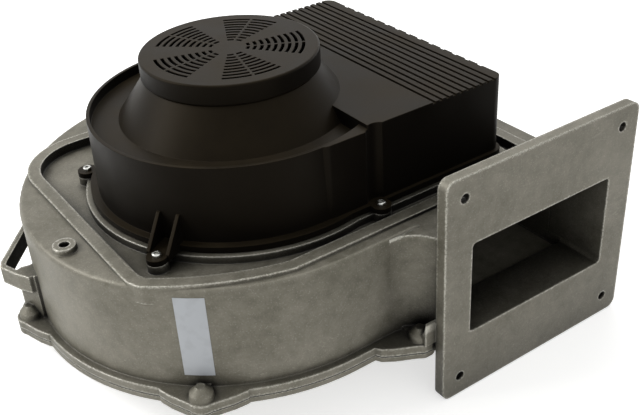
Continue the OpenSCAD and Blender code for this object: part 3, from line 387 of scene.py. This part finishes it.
dress(casting, "scroll_housing")
dress(plate, "base_cover")
dress(die_cast, "motor_flange", "heat_sink")
dress(cover_polyamide, "motor_cover", "vent_cap")
dress(black_polyamide, "gland_bodies", "gland_nuts", "cooling_wheel")
dress(grey_polyamide, "gland_locknuts")
dress(cage_polyamide, "lower_cage", "upper_cage")
dress(cream_polyester, "insulation_caps")
dress(green_polyester, "terminal_block")
dress(black_epoxy, "power_module")
dress(ferrite, "rotor_magnets")
dress(zinc, "impeller_washer")
dress(ground, "shaft", "lower_outer_race", "lower_inner_race", "upper_outer_race",
      "upper_inner_race")
dress(lapped, "lower_balls", "upper_balls")
dress(blued, "preload_washer", "shaft_circlip")
dress(drawn, "rotor_bell")
dress(stacked_steel(), "stator_core")
dress(spun, "inlet_nozzle", "impeller_plate", "impeller_shroud")
dress(rolled, "impeller_blades")
dress(lathed, "impeller_hub", "hub_rivets")
dress(black_rubber, "cover_seal", "shaft_seal")
dress(pressed_fibre, "base_gasket", "motor_gasket")
dress(grey_rubber, "gland_seals")
dress(board_laminate(), "circuit_board")
dress(label_film(), "blank_label")


# ---------- surfaces ----------
SHARP_EDGE = math.radians(35)  # edges that turn more than this stay sharp
SAME_POINT = 1e-6              # metres: points closer than this are one
NO_LENGTH = 1e-7               # metres: edges shorter than this are dissolved
THREAD_DEPTH = 0.14            # of the shank's radius
TAN_60 = 1.73                  # slope of the cone that takes a hexagon's corners off


def around(count):
    """Angles of one turn, without its end."""
    return np.arange(count) * (2 * np.pi / count)


def rings(rows, turn):
    """A surface of rings about Z from (radius, height) rows, each two numbers, columns or grids:
    ring i has its point j at radius[i, j] and height[i, j], at the angle turn[j]."""
    grids = [np.broadcast_arrays(r, z, turn[None, :])[:2] for r, z in rows]
    radius, height = (np.vstack(part) for part in zip(*grids))
    return np.stack([radius * np.cos(turn), radius * np.sin(turn), height], -1)


def round_part(profile, place):
    """A round part: a profile of (radius, height) pairs turned about a vertical axis at a place."""
    return rings(profile, around(48)) + np.asarray(place)


def turned(points, degrees):
    """Points turned about the shaft."""
    c, s = math.cos(math.radians(degrees)), math.sin(math.radians(degrees))
    return points @ np.array([[c, s, 0], [-s, c, 0], [0, 0, 1]])


def thread(length, radius, pitch, turn):
    """Rows of a threaded shank from its tip at -length up to 0: the radius falls by the thread's
    depth times a triangle wave of height over pitch less turn, so its crest climbs one pitch per
    turn. It runs out in the last two pitches, and the tip is a blunt cone."""
    height = np.linspace(-length, 0, max(8, int(4 * length / pitch)))[:, None]
    wave = np.abs(2 * ((height / pitch - turn / (2 * np.pi)) % 1) - 1)
    run_out = np.clip(-height / (2 * pitch), 0, 1)
    tip = np.clip((height + length) / (0.6 * radius) + 0.6, 0, 1)
    return (radius - THREAD_DEPTH * radius * wave * run_out) * tip, height


def lobed_screw(length, shank, head, tall, recess, pitch):
    """A round headed screw, seat at height 0: a threaded shank, then a head whose edge is rounded
    by a quarter ellipse, with a six lobed recess of radius recess x (1 + 0.16 cos 6 turn) that
    goes down to about half the head's height."""
    turn = around(36)
    bow = np.linspace(0, np.pi / 2, 7)[:, None]
    edge = 0.45 * tall
    side = (head - edge * (1 - np.cos(bow)) * 0.8, tall - edge + edge * np.sin(bow) * 0.9)
    lobes = recess * (1 + 0.16 * np.cos(6 * turn))
    return rings([(0, -length), thread(length, shank, pitch, turn), (head * 0.96, 0),
                  (head, 0.04 * tall), side, (lobes * 1.06, tall), (lobes, tall - 0.1),
                  (lobes * 0.97, 0.5 * tall), (0, 0.45 * tall)], turn)


def hexagon(flat, turn):
    """Radius of a hexagon at a turn: half its width over flats by the cosine from the next flat."""
    return flat / np.cos((turn + np.pi / 6) % (np.pi / 3) - np.pi / 6)


def hex_screw(length, shank, corner, tall, washer, thick, pitch):
    """A hexagon screw with its washer, seat at height 0: the head is the lesser of the hexagon and
    a 30 degree cone that takes its corners off, with a dished top. The washer's edges are broken
    by 0.2 mm. A turn of 48 points has one on every corner."""
    turn = around(48)
    flat = corner * math.cos(math.pi / 6)
    prism = hexagon(flat, turn)
    level = np.linspace(0, 1, 7)[:, None] ** 0.5 * (tall - thick) + thick
    head = np.minimum(prism, flat * 0.96 + (tall - level) * TAN_60)
    broken = washer - 0.2
    return rings([(0, -length), thread(length, shank, pitch, turn), (broken, 0), (washer, 0.2),
                  (washer, thick - 0.2), (broken, thick),
                  (np.minimum(prism, corner) * 0.985, thick), (head, level),
                  (flat * 0.9, tall - 0.05), (flat * 0.6, tall - 0.35), (0, tall - 0.4)], turn)


def hex_nut(corner, bore, tall, pitch):
    """A hexagon nut from height 0: outside, the lesser of the hexagon and the cones of both faces;
    inside, the bore with a thread whose crest climbs one pitch per turn. A turn of 60 points has
    one on every corner."""
    turn = around(60)
    flat = corner * math.cos(math.pi / 6)
    level = np.linspace(0, 1, 15)[:, None] * tall
    cone = flat * 0.95 + np.minimum(level, tall - level) * TAN_60
    down = np.linspace(tall, 0, int(6 * tall / pitch))[:, None]
    wave = np.abs(2 * ((down / pitch - turn / (2 * np.pi)) % 1) - 1)
    inside = bore + 0.12 * bore * wave * np.clip(np.minimum(down, tall - down), 0, 1)
    return rings([(np.minimum(hexagon(flat, turn), cone), level), (inside, down)], turn)


def wound_coil(near, far, tooth_y, tooth_z, wall, turns):
    """A coil round a tooth, its axis along X from near to far: a profile with round wires on its
    outside is carried round the tooth's rounded rectangle, moved out along that path's normal by
    the profile's thickness. The wire's bulge is the root of 1 - u^2 across each turn."""
    wire = (far - near) / turns
    u = np.linspace(-1, 1, 7)[:-1]
    across = near + wire * (np.arange(turns)[:, None] + (u[None, :] + 1) / 2)
    bulge = wall - 0.5 * wire + 0.5 * wire * np.sqrt(1 - u ** 2)
    # the outside in wires, then back along the tooth, 0.15 mm off it
    x = np.concatenate([across.ravel(), [far, far - 0.3, near + 0.3, near]])
    out = np.concatenate([np.tile(bulge, turns), [wall - 0.5 * wire, 0.15, 0.15, 0.5]])
    # four corners, each a quarter turn of six directions
    low, high = tooth_z
    bend = np.linspace(0, np.pi / 2, 6)
    corners = [(tooth_y, high), (-tooth_y, high), (-tooth_y, low), (tooth_y, low)]
    base = np.repeat(corners, len(bend), axis=0)
    aim = np.concatenate([bend + quarter * np.pi / 2 for quarter in range(4)])
    aim = np.stack([np.cos(aim), np.sin(aim)], -1)
    path = base[:, None, :] + out[None, :, None] * aim[:, None, :]
    return np.concatenate([np.broadcast_to(x[None, :, None], path.shape[:2] + (1,)), path], -1)


def wound_ring(ring_r, tube_r, turns):
    """A ring core with two windings: the tube's radius is that of the core plus a wire whose
    bulge is |sin| of the turn times the number of wires, and only the core is left at two gaps,
    where |sin| of the turn is under 0.22."""
    lap, tube = around(turns * 6), around(28)
    wire = 1.1
    bulge = 0.35 + 0.65 * np.abs(np.sin(lap * turns / 2))
    gap = np.clip((np.abs(np.sin(lap)) - 0.22) / 0.06, 0, 1)
    radius = (tube_r - wire + wire * bulge * gap)[:, None]
    away = ring_r + radius * np.cos(tube)[None, :]
    x, y = np.cos(lap)[:, None] * away, np.sin(lap)[:, None] * away
    return np.stack([x, y, radius * np.sin(tube)[None, :]], -1)


def skin(rows, columns, first, loop):
    """Quads of a grid whose points start at a number: it closes round its columns, and end to end
    too where it is a loop. A first or last row that is one point closes as a fan once its doubles
    are merged."""
    i, j = np.meshgrid(np.arange(rows if loop else rows - 1), np.arange(columns), indexing="ij")
    k, n = (i + 1) % rows, (j + 1) % columns
    quads = np.stack([i * columns + j, i * columns + n, k * columns + n, k * columns + j], -1)
    return quads.reshape(-1, 4) + first


def put(name, body, node, parts):
    """One piece that stands for a node, from grids: each part is (points [rows, columns, 3] in mm,
    whether it is a loop, material). Doubled points merge, faces turn outwards, and sharp edges
    stay sharp."""
    mesh = bpy.data.meshes.new(name)
    clouds, quads, finish, finishes, first = [], [], [], [], 0
    for points, loop, mat in parts:
        rows, columns = points.shape[:2]
        clouds.append(points.reshape(-1, 3))
        quads.append(skin(rows, columns, first, loop))
        if mat not in finishes:
            finishes.append(mat)
        finish.append(np.full(len(quads[-1]), finishes.index(mat), np.int32))
        first += rows * columns
    mesh.from_pydata(np.vstack(clouds) * MM, [], np.vstack(quads).tolist())
    mesh.polygons.foreach_set("material_index", np.concatenate(finish))
    for mat in finishes:
        mesh.materials.append(mat)
    shape = bmesh.new()
    shape.from_mesh(mesh)
    bmesh.ops.remove_doubles(shape, verts=shape.verts, dist=SAME_POINT)
    bmesh.ops.dissolve_degenerate(shape, edges=shape.edges, dist=NO_LENGTH)
    bmesh.ops.recalc_face_normals(shape, faces=shape.faces)
    for face in shape.faces:
        face.smooth = True
    for edge in shape.edges:
        edge.smooth = len(edge.link_faces) == 2 and edge.calc_face_angle() < SHARP_EDGE
    shape.to_mesh(mesh)
    shape.free()
    piece = bpy.data.objects.new(name, mesh)
    bpy.context.scene.collection.objects.link(piece)
    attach(piece, body)
    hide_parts(node)


# ---------- where the plain solids stand ----------
def points_of(*names):
    """All corner points of some CAD nodes, as one array in metres."""
    clouds = []
    for name in names:
        mesh = nodes[name].data
        flat = np.empty(len(mesh.vertices) * 3, np.float32)
        mesh.vertices.foreach_get("co", flat)
        clouds.append(flat.reshape(-1, 3).astype(float))
    return np.vstack(clouds)


def box_of(name):
    """Lowest and highest corner of a node, in mm."""
    return [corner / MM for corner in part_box(name)]


def solids_of(name, reach):
    """Boxes of a node's separate solids, in mm: points within reach of a seed, in plan, are one
    solid."""
    points, found = points_of(name) / MM, []
    while len(points):
        mine = np.linalg.norm(points[:, :2] - points[0, :2], axis=1) < reach
        found.append((points[mine].min(0), points[mine].max(0)))
        points = points[~mine]
    return found


def over(low, high, height):
    """The point over the middle of a box, at a height."""
    return [(low[0] + high[0]) / 2, (low[1] + high[1]) / 2, height]


# ---------- pieces that stand for plain solids ----------
# round screws: reach of one screw in plan, head height, shank and recess as parts of the head's
# radius, and pitch. Seat, head and length come from each solid's box.
for name, reach, tall, shank, recess, pitch in (("cover_screws", 12, 3.0, 0.5, 0.5, 0.8),
                                                ("nozzle_screws", 12, 2.4, 0.48, 0.5, 0.6),
                                                ("motor_screws", 12, 4.2, 0.5, 0.5, 0.8),
                                                ("board_screws", 9, 2.0, 0.5, 0.52, 0.5)):
    screws = []
    for low, high in solids_of(name, reach):
        head, seat = (high[0] - low[0]) / 2, high[2] - tall
        screw = lobed_screw(seat - low[2], head * shank, head, tall, head * recess, pitch)
        screws.append((screw + over(low, high, seat), False, zinc))
    put(name + "_turned", "housing", name, screws)

# hexagon screws with washers, heads down
screws, tall = [], 5.2
for low, high in solids_of("base_screws", 16):
    seat = low[2] + tall
    screw = hex_screw(high[2] - seat, shank=2.5, corner=5.6, tall=tall, washer=6.0, thick=1.2,
                      pitch=1.0)
    screws.append((screw * [1, -1, -1] + over(low, high, seat), False, zinc))
put("base_screws_hexagon", "housing", "base_screws", screws)

low, high = box_of("impeller_nut")
bore = np.linalg.norm(points_of("impeller_nut")[:, :2], axis=1).min() / MM
nut = hex_nut(corner=11.0, bore=bore, tall=high[2] - low[2], pitch=1.5) + [0, 0, low[2]]
put("impeller_nut_hexagon", "rotor", "impeller_nut", [(nut, True, zinc)])

# twelve coils, each of ten turns of wire, 4 mm thick round a tooth 8 mm wide
low, high = box_of("stator_windings")
wall, count = 4.0, 12
coil = wound_coil(near=37.0, far=54.0, tooth_y=4.0, tooth_z=(low[2] + wall, high[2] - wall),
                  wall=wall, turns=10)
coils = [(turned(coil, 360 / count * k), True, copper) for k in range(count)]
put("stator_windings_wound", "housing", "stator_windings", coils)

# ring core of the choke with two windings, on a moulded foot
low, high = box_of("line_choke")
tube_r = 6.0
ring = wound_ring((high[0] - low[0]) / 2 - tube_r, tube_r, turns=44)
foot = round_part([(0, 0), (12.6, 0), (13, 0.4), (13, 3.4), (12.4, 4), (5, 4), (4.6, 3), (0, 3)],
                  over(low, high, low[2]))
put("line_choke_wound", "housing", "line_choke",
    [(ring + over(low, high, high[2] - tube_r), True, copper), (foot, False, black_polyamide)])

# three cans: a sleeve with its beaded foot and rolled over rim, and the bare lid inside the rim
low, high = box_of("capacitors")
can = (high[1] - low[1]) / 2
beaded_foot = [(0, 0), (can - 1, 0), (can - 0.3, 0.4), (can, 1.2), (can, 3.4), (can - 0.9, 4.2),
               (can - 0.9, 4.8), (can, 5.6)]
rolled_rim = [(can, -1.3), (can - 0.4, -0.35), (can - 1.2, 0), (can - 2.3, 0), (can - 2.6, -0.5)]
lid = [(can - 2.6, -0.5), (can - 3.4, -0.6), (can - 4.2, -1.0), (0.4 * can, -1.0), (0, -0.95)]
sleeve = [(r, low[2] + z) for r, z in beaded_foot] + [(r, high[2] + z) for r, z in rolled_rim]
lid = [(r, high[2] + z) for r, z in lid]
cans = []
for x in np.linspace(low[0] + can, high[0] - can, 3):
    place = (x, (low[1] + high[1]) / 2, 0)
    cans += [(round_part(sleeve, place), False, sleeve_film),
             (round_part(lid, place), False, lathed)]
put("capacitors_sleeved", "housing", "capacitors", cans)


# ---------- floor, light, camera ----------
def rest_plane():
    """Slope and start of the plane that the blower stands on: it passes through the lower back
    edge of the flange and just touches the lowest point on the other side, so its slope is the
    least rise over run from that edge to any point beyond the shaft."""
    points = points_of("scroll_housing", "base_cover", "base_screws")
    foot = points[:, 2].min()
    edge = points[points[:, 2] < foot + 0.5 * MM, 0].min()
    points = points[points[:, 0] < 0]
    rise = (points[:, 2] - foot) / (edge - points[:, 0])
    return float(rise.min()), float(edge), float(foot)


def background_ray(tree):
    """1 for a ray straight from the eye, from gloss or through glass, otherwise 0."""
    seen = add(tree, "ShaderNodeLightPath").outputs
    gloss = add(tree, "ShaderNodeMath", {0: seen["Is Glossy Ray"], 1: seen["Is Transmission Ray"]},
                operation="MAXIMUM")
    return add(tree, "ShaderNodeMath", {0: seen["Is Camera Ray"], 1: gloss}, operation="MAXIMUM")


def make_floor():
    """A square floor, tilted as the blower leans on its flange, seen white with a soft shadow:
    its height climbs from the flange's edge by the slope towards -X."""
    slope, edge_x, edge_z = rest_plane()
    half = 6.0
    corners = [(x, y, edge_z + slope * (edge_x - x)) for x, y in
               ((-half, -half), (half, -half), (half, half), (-half, half))]
    mesh = bpy.data.meshes.new("floor")
    mesh.from_pydata(corners, [], [(0, 1, 2, 3)])
    floor = bpy.data.objects.new("floor", mesh)
    bpy.context.scene.collection.objects.link(floor)
    mat, t, shader = new_material("floor_paper_white",
                                  {"Roughness": 0.9, "Emission Color": WHITE})
    at = add(t, "ShaderNodeTexCoord").outputs["Object"]
    fibre = add(t, "ShaderNodeTexNoise", {"Vector": at, "Scale": every(3), "Detail": 2.0})
    colour = add(t, "ShaderNodeMix", {"Factor": fibre, "A": srgb("ececea"), "B": srgb("f4f4f2")},
                 data_type="RGBA")
    # the eye and mirrors see paper lit a little from behind, so that it is white
    glow = add(t, "ShaderNodeMath", {0: background_ray(t), 1: 0.62}, operation="MULTIPLY")
    connect(shader, {"Base Color": colour, "Emission Strength": glow})
    mesh.materials.append(mat)


def make_world():
    """Even grey light for the object, white where the eye, gloss or glass sees it."""
    world = bpy.data.worlds.new("studio")
    bpy.context.scene.world = world
    world.use_nodes = True
    t = world.node_tree
    t.nodes.clear()
    strength = add(t, "ShaderNodeMapRange",
                   {"Value": background_ray(t), "To Min": 0.4, "To Max": 1.0})
    light = add(t, "ShaderNodeBackground", {"Color": WHITE, "Strength": strength})
    add(t, "ShaderNodeOutputWorld", {"Surface": light})


def make_lamp(name, place, size, watts):
    """A square soft box at a place, facing the middle of the housing."""
    lamp = bpy.data.lights.new(name, "AREA")
    lamp.size = size
    lamp.energy = watts
    obj = bpy.data.objects.new(name, lamp)
    obj.location = place
    facing = Vector((0, 0, 0.1)) - Vector(place)
    obj.rotation_euler = facing.to_track_quat("-Z", "Y").to_euler()
    bpy.context.scene.collection.objects.link(obj)


def make_camera(place, azimuth, elevation, roll, lens):
    """The camera looks down its own -Z. Its back axis points at azimuth from -Y towards +X and
    at elevation above the XY plane; right is level, and roll turns right and up about back."""
    a, e, r = (math.radians(v) for v in (azimuth, elevation, roll))
    back = Vector((math.sin(a) * math.cos(e), -math.cos(a) * math.cos(e), math.sin(e)))
    level = Vector((0, 0, 1)).cross(back).normalized()
    upright = back.cross(level)
    right = math.cos(r) * level + math.sin(r) * upright
    up = back.cross(right)
    data = bpy.data.cameras.new("camera")
    data.lens = lens
    data.sensor_width = 36.0
    camera = bpy.data.objects.new("camera", data)
    axes = Matrix((right, up, back)).transposed().to_4x4()
    camera.matrix_world = Matrix.Translation(place) @ axes
    bpy.context.scene.collection.objects.link(camera)
    bpy.context.scene.camera = camera


make_floor()
make_world()
make_lamp("key_softbox", place=(-0.9, -1.5, 1.5), size=1.1, watts=28)
make_lamp("fill_softbox", place=(1.8, 0.1, 1.0), size=1.4, watts=3)
make_lamp("top_softbox", place=(-0.6, 0.6, 1.9), size=1.4, watts=12.5)
make_camera(place=(0.6956304, -0.3738203, 0.556036), azimuth=56.65854, elevation=32.05358,
            roll=-3.62069, lens=54.35)
bpy.context.scene.view_settings.view_transform = "Standard"
